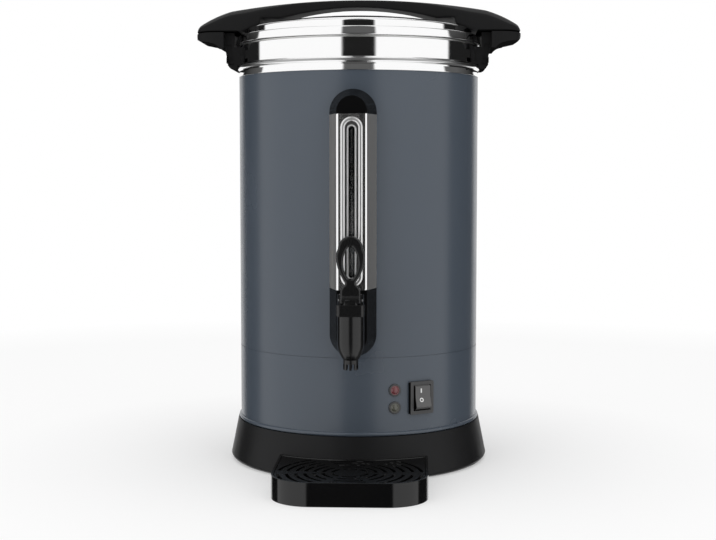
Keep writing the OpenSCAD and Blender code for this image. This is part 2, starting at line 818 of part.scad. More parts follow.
module switch_frame() {
  color([0.05, 0.05, 0.05]) facing(switch_angle, 0, switch_z) {
    translate([0, -rocker_axle, 0]) rod_x(axle_r, rocker_w + 3);
    difference() {
      union() {
        translate([0, -switch_face, 0]) round_plate(switch_w, switch_h, switch_face - shell_r + 1, 1.2);
        translate([0, -shell_r + 0.5, 0]) face_plate(switch_w - 4, switch_h - 4, 18);
      }
      translate([0, -switch_face - 1, 0]) face_plate(rocker_w + 1, rocker_h + 1, 16);
      cut_shell_seat(switch_w, switch_h);
    }
  }
}

// Keeps a frame off the curved shell outside its opening
module cut_shell_seat(w, h) {
  difference() {
    translate([0, 0, -h]) difference() {
      cylinder(r = shell_r + 0.1, h = 2 * h, $fn = 180);
      translate([0, 0, -1]) cylinder(r = shell_in - 0.1, h = 2 * h + 2, $fn = 180);
    }
    translate([-w / 2 + 1.7, -shell_r - 20, -h / 2 + 1.7]) cube([w - 3.4, 60, h - 3.4]);
  }
}

module switch_rocker() {
  lean = rocker_swing / 2;
  color([0.12, 0.12, 0.12]) facing(switch_angle, rocker_axle, switch_z) rotate([-lean, 0, 0]) difference() {
    intersection() {
      translate([-rocker_w / 2, -8.2, -rocker_h / 2 + 1]) cube([rocker_w, 11.2, rocker_h - 2]);
      rod_x(12.5, rocker_w + 2);
      translate([0, -26, 0]) difference() {
        translate([0, 13, 0]) cube([40, 30, 60], center = true);
        rod_x(18.6, 60);
      }
    }
    rod_x(axle_r + run_fit, 40);
  }
}

module lamp_bezels() {
  color([0.05, 0.05, 0.05]) for (z = lamp_z) facing(lamp_angle, 0, z) difference() {
    union() {
      rod_y(lamp_d / 2 + 1.6, -lamp_face, -shell_r + 1, 0);
      rod_y(lamp_d / 2 - 0.8, -lamp_face, -shell_r + 16, 0);
    }
    rod_y(lamp_d / 2, -lamp_face - 1, -shell_r - gap, 0);
    difference() {
      translate([0, 0, -10]) cylinder(r = shell_r + 0.1, h = 20, $fn = 180);
      rod_y(lamp_d / 2 - 0.8, -shell_r - 3, 0, 0);
    }
  }
}

module lamp_lens(z) {
  facing(lamp_angle, 0, z) intersection() {
    rod_y(lamp_d / 2 - gap / 3, -shell_r - 6, -shell_r - gap, 0);
    translate([0, -lamp_face + 7.4, 0]) sphere(r = 8.6);
  }
}

module red_lamp() {
  color([0.6, 0.1, 0.08]) lamp_lens(lamp_z[0]);
}

module green_lamp() {
  color([0.25, 0.28, 0.18]) lamp_lens(lamp_z[1]);
}

module inlet_housing() {
  socket_w = 24;
  socket_h = 16.6;
  color([0.05, 0.05, 0.05]) facing(180, 0, inlet_z) difference() {
    union() {
      translate([0, -inlet_face, 0]) round_plate(inlet_w, inlet_h, inlet_face - shell_r + 3, 3);
      translate([0, -shell_r + 2, 0]) face_plate(inlet_w - 19, inlet_h - 5, 20);
    }
    translate([0, -inlet_face - 1, 0]) face_plate(socket_w, socket_h, socket_deep);
    difference() {
      translate([0, 0, -inlet_h]) cylinder(r = shell_r + 0.1, h = 2 * inlet_h, $fn = 180);
      translate([-inlet_w / 2 + 9.2, -shell_r - 20, -inlet_h / 2 + 2.2]) cube([inlet_w - 18.4, 60, inlet_h - 4.4]);
    }
    for (s = [-1, 1]) translate([s * 20, 0, 0]) rod_y(1.7, -inlet_face - 1, -shell_r + 10, 0);
  }
}

module inlet_pins() {
  color("silver") facing(180, 0, inlet_z) for (p = [[-7, 1], [0, 4.5], [7, 1]])
    translate([p[0] - 1, -inlet_face + 3, p[1] - 2]) cube([2, socket_deep - 3 - 1, 3.6]);
}

// ---------- handles ----------

// Half-width of the lid bar at a distance from the middle
function bar_half(x) = let (t = min(1, max(0, (x - 45) / 70)), s = t * t * (3 - 2 * t))
  arch_w / 2 + (wing_w - arch_w) / 2 * s;
// Half-width with the corners of the tip rounded off
function tip_half(x) = let (past = x - (wing_reach - tip_corner))
  past <= 0 ? bar_half(x) : wing_w / 2 - tip_corner + sqrt(max(0, tip_corner * tip_corner - past * past));

// Plan of the grip end of the bar on the +X side, from a distance outwards
module wing_plan(from) {
  steps = 12;
  xs = [for (i = [0 : steps]) from + (wing_reach - from) * i / steps];
  polygon(concat([for (x = xs) [x, tip_half(x)]],
                 [for (i = [steps : -1 : 0]) [xs[i], -tip_half(xs[i])]]));
}

// Plan of the whole lid bar
module bar_plan() {
  waist = [for (x = [40 : 7.5 : wing_reach - tip_corner]) x];
  tip = [for (i = [0 : 6]) wing_reach - tip_corner * (1 - sin(i * 15))];
  half = concat([for (x = concat(waist, tip)) [x, tip_half(x)]]);
  last = len(half) - 1;
  right = concat(half, [for (i = [last : -1 : 0]) [half[i][0], -half[i][1]]]);
  polygon(concat(right, [for (p = right) -p]));
}

// Section across the lid bar, crowned, standing off the centre of its arc
module crest_section(ball) {
  deep = 55;
  intersection() {
    translate([ball - bar_crown, 0]) circle(bar_crown, $fn = 360);
    translate([max(0, ball - deep), -wing_w / 2 - 1]) square([deep + 1, wing_w + 2]);
  }
}

// Crowned body along one arc, between two angles from the vertical
module crest_arc(mid, ball, from, to) {
  translate([mid[0], 0, mid[1]]) rotate([90, 0, 0]) rotate([0, 0, 90 - to])
    rotate_extrude(angle = to - from, $fn = 360) crest_section(ball);
}

// What stands outside a crowned arc on both wings, from a distance outwards
module beyond_arc(from, mid, ball) {
  for (s = [0, 1]) mirror([s, 0, 0]) difference() {
    translate([from, -wing_w / 2 - 2, wing_z - 1]) cube([wing_reach - from + 2, wing_w + 4, 60]);
    crest_arc(mid, ball, 0, 100);
  }
}

// Crowned bar from tip to tip: the arch, then a slope and a round nose on each wing
module bar_crest() {
  reach_angle = asin((wing_reach + 2) / arch_ball);
  difference() {
    intersection() {
      crest_arc([0, arch_top - arch_ball], arch_ball, -reach_angle, reach_angle);
      translate([0, 0, wing_z]) linear_extrude(60) bar_plan();
    }
    beyond_arc(blend_from, blend_mid, blend_r);
    beyond_arc(tip_from, tip_mid, tip_r);
  }
}

// Open space under the arch, X along and Z up
module arch_space() {
  translate([0, arch_top - arch_t - under_ball]) circle(under_ball, $fn = 360);
  translate([-under_x - 18, wing_z - 1]) square([2 * under_x + 36, under_z - wing_z + 1]);
}

module lid_bar() {
  color([0.06, 0.06, 0.065]) difference() {
    union() {
      bar_crest();
      for (s = [-1, 1]) translate([s * lug_r, 0, 0]) {
        translate([0, 0, lug_z - lug_head_t]) cylinder(d = lug_head_d, h = lug_head_t);
        translate([0, 0, lug_z - 0.5]) cylinder(d = lug_stem_d, h = wing_z - lug_z + 1);
      }
    }
    translate([0, wing_w / 2 + 2, 0]) rotate([90, 0, 0]) linear_extrude(wing_w + 4) arch_space();
    lid_bulk(gap / 2);
    for (s = [-1, 1]) translate([s * bar_screw_x, 0, lid_edge_z - 10]) cylinder(r = 2, h = 16);
  }
}

// Side view of a body handle, X along and Z up
module grip_side() {
  intersection() {
    difference() {
      union() {
        translate([shell_r - 6, leg_bottom + 4]) square([17.5, leg_h - 4]);
        translate([shell_r + 4, leg_bottom + 8.5]) circle(8.5);
        translate([shell_r - 6, leg_bottom]) square([10, 10]);
        translate([shell_r + 8, grip_top - 16]) square([18, 16]);
        polygon([[shell_r + 20, grip_top], [shell_r + 20, grip_top - 10.4], [wing_reach - 5, grip_top - 8],
                 [wing_reach - 0.6, grip_top - 5.5], [wing_reach, grip_top - 3], [wing_reach, grip_top]]);
      }
      translate([shell_r + 26.2, grip_top - 22.9]) circle(12.6);
    }
    translate([shell_r - 6, leg_bottom]) square([wing_reach - shell_r + 6, leg_h]);
  }
}

module body_handle() {
  slot_z = grip_top - grip_plate;
  color([0.06, 0.06, 0.065]) difference() {
    intersection() {
      translate([0, wing_w / 2 + 1, 0]) rotate([90, 0, 0]) linear_extrude(wing_w + 2) grip_side();
      union() {
        translate([0, 0, leg_bottom - 1]) linear_extrude(leg_h + 2) wing_plan(wing_start);
        translate([shell_r - 10, -leg_w / 2, leg_bottom - 1]) cube([30, leg_w, leg_h + 2]);
      }
    }
    translate([0, 0, leg_bottom - 1]) cylinder(r = collar_r + run_fit, h = leg_h + 2, $fn = 180);
    translate([0, 0, leg_bottom - 1])
      cylinder(r = bead_mid_r + bead_r + gap, h = bead_z + bead_r + gap - leg_bottom + 1, $fn = 180);
    translate([0, 0, rim_z - 1]) cylinder(r = brim_r + brim_play, h = 60, $fn = 180);
    lock_slot(slot_z - lug_head_t - 1.2, slot_z, lug_head_d + 1.2);
    lock_slot(slot_z - 1, grip_top + 1, lug_stem_d + 1.2);
    translate([lug_r, 0, slot_z - lug_head_t - 1.2]) cylinder(d = lug_head_d + 2, h = grip_plate + lug_head_t + 3);
    for (y = [-1, 1]) translate([shell_r, y * leg_w / 4, handle_screw_z]) rod_x(handle_screw_r, 18);
    for (s = [-1, 1]) translate([0, s * (leg_w / 2), 0]) rotate([90, 0, 0])
      linear_extrude(2.4, center = true) leg_recess();
  }
}

// Sunk panel on the cheek of a leg, with a rim left round it
module leg_recess() {
  difference() {
    translate([shell_r + 5.4, leg_bottom + 4.5]) square([5.2, leg_h - 16]);
    translate([shell_r + 8, leg_bottom + 7.5]) circle(2.2, $fn = 32);
  }
}

// Curved pocket that the locking lug turns into
module lock_slot(low, high, w) {
  translate([0, 0, low]) {
    rotate_extrude(angle = lock_turn) translate([lug_r - w / 2, 0]) square([w, high - low]);
    for (a = [0, lock_turn]) rotate([0, 0, a]) translate([lug_r, 0, 0]) cylinder(d = w, h = high - low);
  }
}

module right_handle() {
  body_handle();
}

module left_handle() {
  rotate([0, 0, 180]) body_handle();
}

module handle_screws() {
  color("silver") for (s = [0, 180], y = [-1, 1]) rotate([0, 0, s])
    translate([shell_r, y * leg_w / 4, handle_screw_z]) {
      translate([-0.5, 0, 0]) rod_x(handle_screw_r - run_fit, 15);
      translate([-6.2, 0, 0]) rod_x(4, 2.4);
    }
}

// ---------- lid ----------

// Everything inside the outer surface of the lid above its brim, grown by a clearance
module lid_bulk(extra) {
  rotate_extrude($fn = 180) intersection() {
    union() {
      translate([0, side_z - 20]) square([side_r + extra, 20 + lid_side_h - edge_round]);
      translate([0, side_z]) square([crown_r + extra, lid_side_h + extra]);
      translate([crown_r, lid_edge_z - edge_round]) circle(edge_round + extra);
      intersection() {
        translate([0, lid_edge_z + crown_h - crown_ball]) circle(crown_ball + extra, $fn = 360);
        translate([0, side_z]) square([crown_r + extra, 60]);
      }
    }
    translate([0, 0]) square([side_r + extra, 900]);
  }
}

module lid_cover() {
  color("silver") difference() {
    union() {
      difference() {
        lid_bulk(0);
        lid_bulk(-lid_wall);
        translate([0, 0, side_z - 30]) cylinder(r = side_r + 1, h = 30 - brim_h - 1.4);
      }
      rotate_extrude($fn = 180) {
        translate([brim_r - roll_r, brim_z + roll_r]) circle(roll_r);
        translate([side_r - lid_wall, side_z - lid_wall]) square([brim_r - roll_r - side_r + lid_wall, lid_wall]);
      }
    }
    for (s = [-1, 1]) translate([s * bar_screw_x, 0, side_z]) cylinder(r = 2.1, h = 30);
  }
}

module lid_liner() {
  color([0.7, 0.7, 0.71]) {
    translate([0, 0, liner_z]) cylinder(r = side_r - lid_wall - 0.1, h = lid_wall);
    ring(plug_r - lid_wall, plug_r, liner_z - plug_depth, liner_z);
  }
}

module lid_bar_screws() {
  color("silver") for (s = [-1, 1]) translate([s * bar_screw_x, 0, 0]) {
    translate([0, 0, lid_edge_z - 7]) cylinder(r = 2 - run_fit, h = 12);
    translate([0, 0, lid_edge_z - 9]) cylinder(r = 4, h = 2.4);
  }
}

module lid_seal() {
  color([0.85, 0.85, 0.83]) ring(tank_r + 2, seat_r - 2.5, seat_z + gap, liner_z - gap);
}

// ---------- drip tray ----------

// Plan of the tray, X across and Y to the back
module tray_plan(inset) {
  front = -tray_reach + inset;
  side = tray_side - inset;
  r = tray_corner - inset;
  translate([-side, front + r]) square([2 * side, tray_reach - inset - r - 60]);
  translate([-side + r, front]) square([2 * side - 2 * r, r + 1]);
  for (s = [-1, 1]) translate([s * (side - r), front + r]) circle(r);
}

// Outside of the flared base, grown by a clearance, that the back of the tray follows
module flare_bulk(extra) {
  rotate_extrude($fn = 180)
    polygon([[0, -1], [flare_r + extra, -1], [flare_r + extra, base_round],
             [skirt_top_r + extra, base_h], [0, base_h]]);
}

module drip_pan() {
  color([0.04, 0.04, 0.045]) difference() {
    union() {
      difference() {
        linear_extrude(tray_h) tray_plan(0);
        flare_bulk(gap);
      }
      translate([-tongue_w / 2, -flare_r - 6, tongue_z]) cube([tongue_w, 6 + tongue_run, tongue_t]);
    }
    difference() {
      translate([0, 0, tray_wall]) linear_extrude(tray_h) tray_plan(tray_wall * 2);
      flare_bulk(gap + tray_wall * 2);
    }
    difference() {
      translate([0, 0, grate_z]) linear_extrude(tray_h) tray_plan(tray_wall);
      flare_bulk(gap + tray_wall);
    }
  }
}

module drip_grate() {
  arc_mid = -tray_reach + 42;
  color([0.05, 0.05, 0.055]) difference() {
    translate([0, 0, grate_z]) linear_extrude(grate_t) tray_plan(tray_wall + gap);
    flare_bulk(2 * gap + tray_wall);
    for (r = [14 : 8 : 62]) for (a = [0 : 60 : 300])
      translate([0, arc_mid, grate_z - 1]) rotate([0, 0, a + 6]) rotate_extrude(angle = 48)
        translate([r, 0]) square([3, grate_t + 2]);
  }
}

// ---------- percolator ----------

module riser_tube() {
  color([0.75, 0.76, 0.77]) difference() {
    union() {
      translate([0, 0, riser_z + 6]) cylinder(r = riser_r, h = riser_h - 6);
      translate([0, 0, riser_z + 6]) cylinder(r1 = riser_foot_r, r2 = riser_r + 2, h = 12);
      translate([0, 0, riser_z]) cylinder(r = riser_foot_r, h = 6);
      translate([0, 0, basket_z - 3 - gap]) cylinder(r1 = riser_r, r2 = riser_r + 3, h = 3);
    }
    translate([0, 0, riser_z - 1]) cylinder(r = riser_r - 1, h = riser_h + 2);
    translate([0, 0, riser_z - 1]) cylinder(r = riser_foot_r - 1.2, h = 6);
    translate([0, 0, riser_z + 5]) cylinder(r1 = riser_foot_r - 1.2, r2 = riser_r - 1, h = 11);
    for (a = [0 : 90 : 270]) rotate([0, 0, a]) translate([riser_foot_r - 3, -3, riser_z - 1]) cube([6, 6, 3]);
  }
}

module pump_valve() {
  color([0.8, 0.8, 0.8]) difference() {
    translate([0, 0, riser_z + 0.6]) cylinder(r = riser_foot_r - 2.4, h = 1);
    for (a = [0 : 60 : 300]) rotate([0, 0, a]) translate([riser_foot_r - 8, 0, riser_z - 1]) cylinder(r = 1.5, h = 4);
  }
}

module basket_holes(low, reach) {
  for (i = [1 : basket_rings]) let (r = riser_r + 4 + (reach - riser_r - 9) * i / basket_rings, n = 6 * i)
    for (k = [0 : n - 1]) rotate([0, 0, k * 360 / n]) translate([r, 0, low - 1]) cylinder(r = 1.2, h = 4, $fn = 16);
}

module coffee_basket() {
  color([0.75, 0.76, 0.77]) difference() {
    union() {
      ring(basket_r - basket_wall, basket_r, basket_z, basket_z + basket_h);
      translate([0, 0, basket_z]) cylinder(r = basket_r - basket_wall / 2, h = basket_wall);
      translate([0, 0, basket_z]) cylinder(r = riser_r + 3, h = 12);
    }
    translate([0, 0, basket_z - 1]) cylinder(r = riser_r + 0.08, h = 20);
    basket_holes(basket_z, basket_r);
  }
}

module basket_cover() {
  low = basket_z + basket_h + gap;
  color([0.75, 0.76, 0.77]) difference() {
    union() {
      translate([0, 0, low]) cylinder(r = basket_r + 1, h = 1);
      ring(basket_r - basket_wall - 1.8, basket_r - basket_wall - 0.8, low - 6, low + 0.5);
      ring(basket_r, basket_r + 1, low, low + 6);
    }
    translate([0, 0, low - 1]) cylinder(r = riser_r + 0.08, h = 20);
    basket_holes(low, basket_r - 4);
  }
}

base_skirt();
base_cover();
base_screws();
rubber_feet();
lower_shell();
seam_ring();
upper_shell();
collar();
tank();
pump_heater();
warming_ring();
thermostat();
thermal_cutout();
heat_shield();
tie_rod();
tie_nut();
gauge_cap();
gauge_cover();
gauge_bezel();
gauge_backing();
gauge_window();
lower_housing();
gauge_block();
sight_tube();
tube_seals();
tap_body();
tap_bonnet();
tap_washers();
tail_nut();
tap_lever();
lever_pin();
valve_stem();
seat_cup();
valve_spring();
switch_frame();
switch_rocker();
lamp_bezels();
red_lamp();
green_lamp();
inlet_housing();
inlet_pins();
left_handle();
right_handle();
handle_screws();
lid_cover();
lid_liner();
lid_bar();
lid_bar_screws();
lid_seal();
drip_pan();
drip_grate();
riser_tube();
pump_valve();
coffee_basket();
basket_cover();
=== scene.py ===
import bpy
import bmesh
import json
import math
from mathutils import Matrix, Vector


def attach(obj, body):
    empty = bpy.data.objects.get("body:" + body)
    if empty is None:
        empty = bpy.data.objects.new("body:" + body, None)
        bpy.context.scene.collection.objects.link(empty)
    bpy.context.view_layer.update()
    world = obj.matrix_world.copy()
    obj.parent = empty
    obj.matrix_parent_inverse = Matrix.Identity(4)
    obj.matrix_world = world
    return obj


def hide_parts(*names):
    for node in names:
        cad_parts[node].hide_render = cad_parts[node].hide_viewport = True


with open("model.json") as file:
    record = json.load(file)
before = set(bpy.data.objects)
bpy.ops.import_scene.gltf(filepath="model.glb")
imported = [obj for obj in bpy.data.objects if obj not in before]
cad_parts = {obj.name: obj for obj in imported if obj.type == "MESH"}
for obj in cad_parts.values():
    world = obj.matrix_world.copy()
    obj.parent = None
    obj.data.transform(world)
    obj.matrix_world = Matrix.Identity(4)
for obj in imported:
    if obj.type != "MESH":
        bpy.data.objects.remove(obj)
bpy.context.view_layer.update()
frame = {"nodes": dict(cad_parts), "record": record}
nodes = frame["nodes"]
print("frame loaded:", len(nodes), "nodes")

mm = 0.001
grainSet = {"mask": (0.3, 0.7), "mouldedBump": 0.6, "brushedBump": 0.5, "brushScale": 1200.0}
socketOf = {"specular": "Specular IOR Level", "coat": "Coat Weight", "clear": "Transmission Weight",
            "refraction": "IOR"}


def newGroup(name, inputs, outputs):
    group = bpy.data.node_groups.new(name, "ShaderNodeTree")
    for label, kind, value in inputs:
        socket = group.interface.new_socket(label, in_out="INPUT", socket_type=kind)
        if value is not None:
            socket.default_value = value
    for label in outputs:
        group.interface.new_socket(label, in_out="OUTPUT", socket_type="NodeSocketFloat")
    return group, group.nodes.new("NodeGroupInput"), group.nodes.new("NodeGroupOutput")


def noise(group, detail=None, scale=None):
    texture = group.nodes.new("ShaderNodeTexNoise")
    for label, value in (("Detail", detail), ("Scale", scale)):
        if value is not None:
            texture.inputs[label].default_value = value
    return texture


def mouldGrain():  # fine grain of a moulded surface, with slow cloudiness
    group, inp, out = newGroup("mouldGrain", [
        ("Vector", "NodeSocketVector", None), ("Scale", "NodeSocketFloat", 900.0),
    ], ("Height", "Mask"))
    fine = noise(group, detail=3.0)
    slow = noise(group, detail=4.0, scale=14.0)
    link = group.links.new
    link(inp.outputs["Vector"], fine.inputs["Vector"])
    link(inp.outputs["Vector"], slow.inputs["Vector"])
    link(inp.outputs["Scale"], fine.inputs["Scale"])
    link(fine.outputs["Fac"], out.inputs["Height"])
    link(slow.outputs["Fac"], out.inputs["Mask"])
    return group


def brushLines():  # long scratches, drawn out along the axis that has a small stretch
    group, inp, out = newGroup("brushLines", [
        ("Vector", "NodeSocketVector", None), ("Stretch", "NodeSocketVector", (1.0, 1.0, 0.02)),
        ("Scale", "NodeSocketFloat", grainSet["brushScale"]),
    ], ("Height", "Mask"))
    mult = group.nodes.new("ShaderNodeVectorMath")
    mult.operation = "MULTIPLY"
    lines = noise(group, detail=4.0)
    bands = noise(group, scale=130.0)
    link = group.links.new
    link(inp.outputs["Vector"], mult.inputs[0])
    link(inp.outputs["Stretch"], mult.inputs[1])
    link(mult.outputs["Vector"], lines.inputs["Vector"])
    link(mult.outputs["Vector"], bands.inputs["Vector"])
    link(inp.outputs["Scale"], lines.inputs["Scale"])
    link(lines.outputs["Fac"], out.inputs["Height"])
    link(bands.outputs["Fac"], out.inputs["Mask"])
    return group


grainGroup = mouldGrain()
brushGroup = brushLines()


def mathStep(tree, operation, *sources):  # one Math node, fed by sockets or by plain numbers
    step = tree.nodes.new("ShaderNodeMath")
    step.operation = operation
    for socket, source in zip(step.inputs, sources):
        if isinstance(source, (int, float)):
            socket.default_value = source
        else:
            tree.links.new(source, socket)
    return step.outputs[0]


def rangeStep(tree, value, low, high, start=0.0, stop=1.0):
    step = tree.nodes.new("ShaderNodeMapRange")
    for label, number in (("From Min", low), ("From Max", high), ("To Min", start), ("To Max", stop)):
        step.inputs[label].default_value = number
    tree.links.new(value, step.inputs["Value"])
    return step.outputs["Result"]


def grainedFinish(name, base, rough, metallic, spread, tint, strength, depth, group, settings, plain):
    mat = bpy.data.materials.new(name)
    mat.use_nodes = True
    tree = mat.node_tree
    principled = tree.nodes["Principled BSDF"]
    principled.inputs["Base Color"].default_value = (*base, 1.0)
    principled.inputs["Roughness"].default_value = rough
    principled.inputs["Metallic"].default_value = metallic
    for label, value in plain.items():
        principled.inputs[socketOf[label]].default_value = value
    coords = tree.nodes.new("ShaderNodeTexCoord")
    grain = tree.nodes.new("ShaderNodeGroup")
    grain.node_tree = group
    for label, value in settings.items():
        grain.inputs[label].default_value = value
    tree.links.new(coords.outputs["Object"], grain.inputs["Vector"])
    spreadOut = rangeStep(tree, grain.outputs["Mask"], *grainSet["mask"],
                          max(0.0, rough - spread), rough + spread)
    tree.links.new(spreadOut, principled.inputs["Roughness"])
    mix = tree.nodes.new("ShaderNodeMix")
    mix.data_type = "RGBA"
    mix.inputs["A"].default_value = (*[c * (1 - tint) for c in base], 1.0)
    mix.inputs["B"].default_value = (*[min(1.0, c * (1 + tint)) for c in base], 1.0)
    tree.links.new(grain.outputs["Mask"], mix.inputs["Factor"])
    tree.links.new(mix.outputs["Result"], principled.inputs["Base Color"])
    bump = tree.nodes.new("ShaderNodeBump")
    bump.inputs["Strength"].default_value = strength
    bump.inputs["Distance"].default_value = depth
    tree.links.new(grain.outputs["Height"], bump.inputs["Height"])
    tree.links.new(bump.outputs["Normal"], principled.inputs["Normal"])
    return mat


def mouldedFinish(name, base, rough, spread=0.05, scale=900.0, depth=0.00002, tint=0.12, metallic=0.0,
                  **plain):
    return grainedFinish(name, base, rough, metallic, spread, tint, grainSet["mouldedBump"], depth,
                         grainGroup, {"Scale": scale}, plain)


def brushedFinish(name, base, rough, stretch, spread=0.06, depth=0.00001, tint=0.08):
    return grainedFinish(name, base, rough, 1.0, spread, tint, grainSet["brushedBump"], depth,
                         brushGroup, {"Stretch": stretch, "Scale": grainSet["brushScale"]}, {})


def clearFinish(name, base, rough):
    return mouldedFinish(name, base, rough, spread=0.02, scale=500.0, depth=0.000003,
                         clear=1.0, refraction=1.46)


around = (0.02, 0.02, 1.0)  # lines that run round the urn
upright = (1.0, 1.0, 0.02)  # lines that run up and down
alongPins = (1.0, 0.05, 1.0)  # lines along the pins of the inlet

finishes = {
    "base_black": mouldedFinish("baseBlack", (0.0075, 0.0075, 0.008), 0.42, scale=1400.0, depth=0.00003,
                                specular=0.2),
    "fastener_steel": brushedFinish("fastenerSteel", (0.6, 0.6, 0.6), 0.3, upright),
    "rubber_black": mouldedFinish("rubberBlack", (0.03, 0.03, 0.03), 0.75, scale=700.0, depth=0.00005),
    "slate_paint": mouldedFinish("slatePaint", (0.062, 0.077, 0.098), 0.25, spread=0.03, scale=420.0,
                                 depth=0.000005, tint=0.03),
    "inner_black": mouldedFinish("innerBlack", (0.03, 0.03, 0.03), 0.6),
    "polished_steel": brushedFinish("polishedSteel", (0.96, 0.96, 0.96), 0.055, around, spread=0.015,
                                    depth=0.000001, tint=0.01),
    "tank_steel": brushedFinish("tankSteel", (0.62, 0.62, 0.61), 0.28, around),
    "heater_cast": mouldedFinish("heaterCast", (0.5, 0.49, 0.47), 0.5, scale=350.0, depth=0.0001,
                                 metallic=1.0),
    "ceramic_white": mouldedFinish("ceramicWhite", (0.78, 0.74, 0.66), 0.45),
    "shield_aluminium": brushedFinish("shieldAluminium", (0.72, 0.72, 0.72), 0.35, around),
    "column_black": mouldedFinish("columnBlack", (0.004, 0.004, 0.0042), 0.2, spread=0.04, scale=1100.0,
                                  depth=0.00001, specular=0.05),
    "brushed_cover": brushedFinish("brushedCover", (0.92, 0.91, 0.90), 0.19, upright, spread=0.04,
                                   depth=0.000004, tint=0.05),
    "bright_bezel": brushedFinish("brightBezel", (0.86, 0.86, 0.86), 0.33, upright, spread=0.03,
                                  depth=0.000002, tint=0.02),
    "block_natural": mouldedFinish("blockNatural", (0.55, 0.5, 0.42), 0.5),
    "silicone_red": mouldedFinish("siliconeRed", (0.42, 0.1, 0.06), 0.6),
    "tap_black": mouldedFinish("tapBlack", (0.005, 0.005, 0.0052), 0.24, spread=0.04, scale=1300.0,
                               depth=0.00001),
    "switch_black": mouldedFinish("switchBlack", (0.046, 0.046, 0.047), 0.5, scale=2000.0),
    "rocker_black": mouldedFinish("rockerBlack", (0.088, 0.087, 0.087), 0.4, scale=1600.0),
    "red_lens": mouldedFinish("redLens", (0.14, 0.035, 0.04), 0.25, scale=800.0, coat=0.5),
    "green_lens": mouldedFinish("greenLens", (0.07, 0.07, 0.055), 0.25, scale=800.0, coat=0.5),
    "pin_plate": brushedFinish("pinPlate", (0.72, 0.68, 0.56), 0.25, alongPins),
    "handle_black": mouldedFinish("handleBlack", (0.0145, 0.0145, 0.0148), 0.5, scale=1500.0,
                                  specular=0.025),
    "silicone_white": mouldedFinish("siliconeWhite", (0.72, 0.72, 0.69), 0.6),
    "tray_black": mouldedFinish("trayBlack", (0.003, 0.003, 0.0032), 0.13, spread=0.03, scale=600.0,
                                depth=0.000003),
    "grate_black": mouldedFinish("grateBlack", (0.003, 0.003, 0.0032), 0.3, spread=0.04, depth=0.000005,
                                 specular=0.25),
    "mark_white": mouldedFinish("markWhite", (0.75, 0.75, 0.74), 0.5, scale=1500.0),
    # painted shade for the undersides of the grips and the lid bar
    "handle_under_shade": mouldedFinish("handleUnderShade", (0.009, 0.009, 0.009), 0.9, depth=0.0, specular=0.0),
    # near-black painted shade for the sides of the switch frame and the rocker
    "painted_shade_black": mouldedFinish("paintedShadeBlack", (0.002, 0.002, 0.002), 0.3, depth=0.0, specular=0.1),
    # the cover's side facets: rougher, with a darker, warmer tint that is painted reflection
    "satin_facet_reflection": brushedFinish("satinFacetReflection", (0.72, 0.68, 0.63), 0.4, upright, spread=0.04,
                                 depth=0.000004, tint=0.05),
    # painted shade: a darker steel for the hem line along the collar's bead
    "hem_shade_steel": brushedFinish("hemShadeSteel", (0.42, 0.42, 0.42), 0.3, around, spread=0.04,
                               depth=0.000002, tint=0.05),
    "clear_window": clearFinish("clearWindow", (0.9, 0.92, 0.92), 0.08),
    "sight_glass": clearFinish("sightGlass", (0.92, 0.95, 0.95), 0.05),
}
print("finishes made:", len(finishes))

slotOf = {row["node"]: row["material_slot"] for row in frame["record"]["subparts"]}
bodyOf = {node: body for body, group in frame["record"]["behaviour"]["bodies"].items() for node in group}
painted = {"seam_ring": "slate_paint", "gauge_backing": "rocker_black"}  # seen through seam and window
for node, obj in nodes.items():
    obj.data.materials.clear()
    obj.data.materials.append(finishes[painted.get(node, slotOf[node])])

meshSet = {"double": 0.002, "spunDouble": 0.001, "flat": 0.5, "sharp": 32.0, "smooth": 35.0,
           "softSmooth": 60.0, "ringSteps": 192, "cornerSteps": 5}


def placed(name, data):
    obj = bpy.data.objects.new(name, data)
    bpy.context.scene.collection.objects.link(obj)
    return obj


def addPiece(name, bm, body, slotName, replaced=(), smooth=meshSet["smooth"], extra=()):  # bm in millimetres
    bmesh.ops.scale(bm, vec=(mm, mm, mm), verts=bm.verts)
    mesh = bpy.data.meshes.new(name)
    bm.to_mesh(mesh)
    bm.free()
    mesh.shade_smooth()
    mesh.set_sharp_from_angle(angle=math.radians(smooth))
    for finish in (slotName, *extra):
        mesh.materials.append(finishes[finish])
    piece = placed(name, mesh)
    weighted = piece.modifiers.new("weighted", "WEIGHTED_NORMAL")  # flat faces stay flat beside roundings
    weighted.keep_sharp = True
    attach(piece, body)
    if replaced:
        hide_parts(*replaced)
    return piece


def mergedCopy(node):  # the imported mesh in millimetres, with its doubles merged
    bm = bmesh.new()
    bm.from_mesh(nodes[node].data)
    bmesh.ops.scale(bm, vec=(1 / mm, 1 / mm, 1 / mm), verts=bm.verts)
    bmesh.ops.remove_doubles(bm, verts=bm.verts, dist=meshSet["double"])
    return bm


def cadCopy(node):  # the same with its flat faces whole
    bm = mergedCopy(node)
    bmesh.ops.dissolve_limit(bm, angle_limit=math.radians(meshSet["flat"]), verts=bm.verts, edges=bm.edges)
    return bm


def sharpEdges(bm, angle=meshSet["sharp"], wanted=None):
    limit = math.radians(angle)
    return [e for e in bm.edges if len(e.link_faces) == 2 and e.calc_face_angle(0.0) > limit
            and (wanted is None or wanted(e))]


def roundEdges(bm, edges, width, segments=3, material=-1):
    if edges:
        bmesh.ops.bevel(bm, geom=edges, offset=width, segments=segments, profile=0.5, affect="EDGES",
                        clamp_overlap=True, material=material)


def softened(node, width, name=None, change=None, widen=1.0):  # copy with rounded edges, changed before them
    bm = cadCopy(node)
    if change:
        change(bm)
    roundEdges(bm, sharpEdges(bm), width)
    if widen != 1.0:
        bmesh.ops.scale(bm, vec=(widen, 1, 1), verts=bm.verts)
    return addPiece(name or node + ".soft", bm, bodyOf[node], slotOf[node], (node,))


